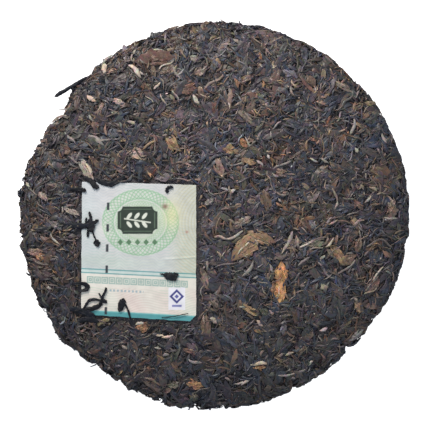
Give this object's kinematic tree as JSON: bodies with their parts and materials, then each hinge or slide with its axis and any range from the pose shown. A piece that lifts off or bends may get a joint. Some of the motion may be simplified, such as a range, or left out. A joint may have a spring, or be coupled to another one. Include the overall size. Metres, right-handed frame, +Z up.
{
  "type": "pu erh tea cake",
  "caption": "Round domed cake of pressed dark tea leaf with a paper ticket bedded in its face and a press hollow in its back.",
  "frame": {"origin": "middle of the cake's underside, on the surface it lies on", "axes": "+Z up, out of the domed face with the ticket; +Y towards the top of the face, where the ticket's longer sides point; +X to the right seen from above"},
  "size_m": [0.2007, 0.2007, 0.0259],
  "materials": {
    "tea_leaf": "pressed dry leaf, dark brown to slate with paler buds and stems",
    "ticket_paper": "thin pale printed paper"
  },
  "bodies": {
    "root": {"tea_cake": "tea_leaf", "ticket": "ticket_paper"}
  },
  "joints": []
}
